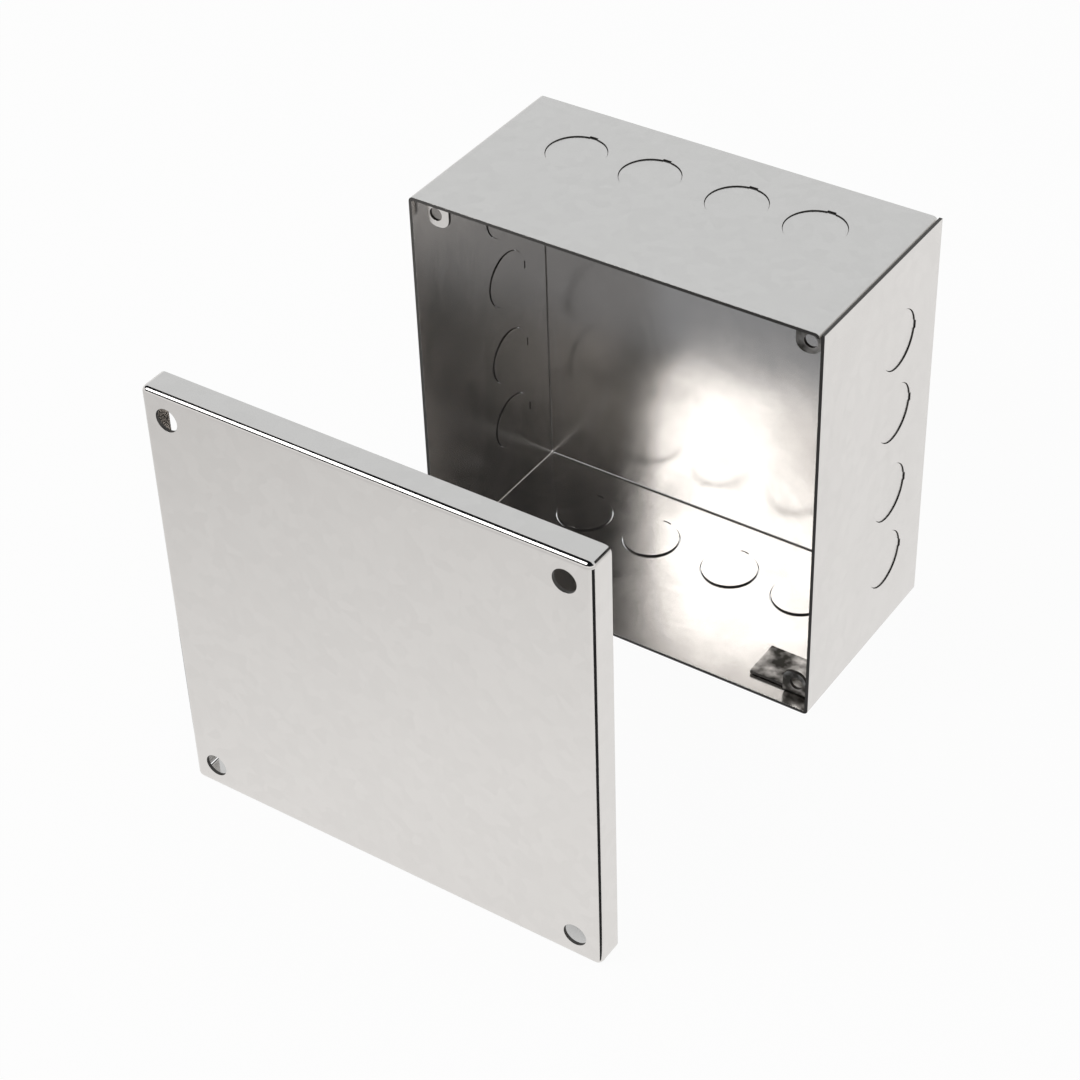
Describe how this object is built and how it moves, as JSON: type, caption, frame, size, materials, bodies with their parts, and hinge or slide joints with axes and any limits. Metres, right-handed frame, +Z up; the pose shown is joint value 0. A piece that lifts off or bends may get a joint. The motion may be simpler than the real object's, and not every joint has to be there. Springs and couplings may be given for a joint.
{
  "type": "electrical junction box",
  "caption": "Square galvanised sheet-steel junction box, open at the front, with round knockouts in its side walls, corner lugs and a separate flanged lid with screw holes.",
  "frame": {"origin": "on the surface that box and lid stand on, under the middle of the whole object with the lid standing in front", "axes": "+X right, +Y from the lid towards the back of the box, +Z up"},
  "size_m": [0.154, 0.203, 0.154],
  "materials": {
    "galvanised_sheet": "hot-dip galvanised sheet, semi-gloss, with faint rolling marks and handling smears"
  },
  "bodies": {
    "box": {"wrapper": "galvanised_sheet", "back_plate": "galvanised_sheet", "corner_lug_bottom_left": "galvanised_sheet", "corner_lug_bottom_right": "galvanised_sheet", "corner_lug_top_left": "galvanised_sheet", "corner_lug_top_right": "galvanised_sheet"},
    "lid": {"lid": "galvanised_sheet"},
    "knockout_top_1": {"knockout_top_1": "galvanised_sheet"},
    "knockout_top_2": {"knockout_top_2": "galvanised_sheet"},
    "knockout_top_3": {"knockout_top_3": "galvanised_sheet"},
    "knockout_top_4": {"knockout_top_4": "galvanised_sheet"},
    "knockout_right_1": {"knockout_right_1": "galvanised_sheet"},
    "knockout_right_2": {"knockout_right_2": "galvanised_sheet"},
    "knockout_right_3": {"knockout_right_3": "galvanised_sheet"},
    "knockout_right_4": {"knockout_right_4": "galvanised_sheet"},
    "knockout_bottom_1": {"knockout_bottom_1": "galvanised_sheet"},
    "knockout_bottom_2": {"knockout_bottom_2": "galvanised_sheet"},
    "knockout_bottom_3": {"knockout_bottom_3": "galvanised_sheet"},
    "knockout_bottom_4": {"knockout_bottom_4": "galvanised_sheet"},
    "knockout_left_1": {"knockout_left_1": "galvanised_sheet"},
    "knockout_left_2": {"knockout_left_2": "galvanised_sheet"},
    "knockout_left_3": {"knockout_left_3": "galvanised_sheet"},
    "knockout_left_4": {"knockout_left_4": "galvanised_sheet"}
  },
  "joints": [
    {"name": "lid_slide", "type": "slide", "parent": "box", "child": "lid", "axis": [0, 0.9999, -0.0158], "range_m": [0, 0.12642]},
    {"name": "knockout_top_1_bend", "type": "hinge", "parent": "box", "child": "knockout_top_1", "pos_m": [-0.044, 0.0865, 0.1481], "axis": [1, 0, 0], "range_deg": [0, 70]},
    {"name": "knockout_top_2_bend", "type": "hinge", "parent": "box", "child": "knockout_top_2", "pos_m": [-0.016, 0.0865, 0.1481], "axis": [1, 0, 0], "range_deg": [0, 70]},
    {"name": "knockout_top_3_bend", "type": "hinge", "parent": "box", "child": "knockout_top_3", "pos_m": [0.016, 0.0865, 0.1481], "axis": [1, 0, 0], "range_deg": [0, 70]},
    {"name": "knockout_top_4_bend", "type": "hinge", "parent": "box", "child": "knockout_top_4", "pos_m": [0.044, 0.0865, 0.1481], "axis": [1, 0, 0], "range_deg": [0, 70]},
    {"name": "knockout_right_1_bend", "type": "hinge", "parent": "box", "child": "knockout_right_1", "pos_m": [0.0731, 0.0865, 0.119], "axis": [0, 0, -1], "range_deg": [0, 70]},
    {"name": "knockout_right_2_bend", "type": "hinge", "parent": "box", "child": "knockout_right_2", "pos_m": [0.0731, 0.0865, 0.091], "axis": [0, 0, -1], "range_deg": [0, 70]},
    {"name": "knockout_right_3_bend", "type": "hinge", "parent": "box", "child": "knockout_right_3", "pos_m": [0.0731, 0.0865, 0.059], "axis": [0, 0, -1], "range_deg": [0, 70]},
    {"name": "knockout_right_4_bend", "type": "hinge", "parent": "box", "child": "knockout_right_4", "pos_m": [0.0731, 0.0865, 0.031], "axis": [0, 0, -1], "range_deg": [0, 70]},
    {"name": "knockout_bottom_1_bend", "type": "hinge", "parent": "box", "child": "knockout_bottom_1", "pos_m": [0.044, 0.0865, 0.0019], "axis": [-1, 0, 0], "range_deg": [0, 70]},
    {"name": "knockout_bottom_2_bend", "type": "hinge", "parent": "box", "child": "knockout_bottom_2", "pos_m": [0.016, 0.0865, 0.0019], "axis": [-1, 0, 0], "range_deg": [0, 70]},
    {"name": "knockout_bottom_3_bend", "type": "hinge", "parent": "box", "child": "knockout_bottom_3", "pos_m": [-0.016, 0.0865, 0.0019], "axis": [-1, 0, 0], "range_deg": [0, 70]},
    {"name": "knockout_bottom_4_bend", "type": "hinge", "parent": "box", "child": "knockout_bottom_4", "pos_m": [-0.044, 0.0865, 0.0019], "axis": [-1, 0, 0], "range_deg": [0, 70]},
    {"name": "knockout_left_1_bend", "type": "hinge", "parent": "box", "child": "knockout_left_1", "pos_m": [-0.0731, 0.0865, 0.031], "axis": [0, 0, 1], "range_deg": [0, 70]},
    {"name": "knockout_left_2_bend", "type": "hinge", "parent": "box", "child": "knockout_left_2", "pos_m": [-0.0731, 0.0865, 0.059], "axis": [0, 0, 1], "range_deg": [0, 70]},
    {"name": "knockout_left_3_bend", "type": "hinge", "parent": "box", "child": "knockout_left_3", "pos_m": [-0.0731, 0.0865, 0.091], "axis": [0, 0, 1], "range_deg": [0, 70]},
    {"name": "knockout_left_4_bend", "type": "hinge", "parent": "box", "child": "knockout_left_4", "pos_m": [-0.0731, 0.0865, 0.119], "axis": [0, 0, 1], "range_deg": [0, 70]}
  ]
}
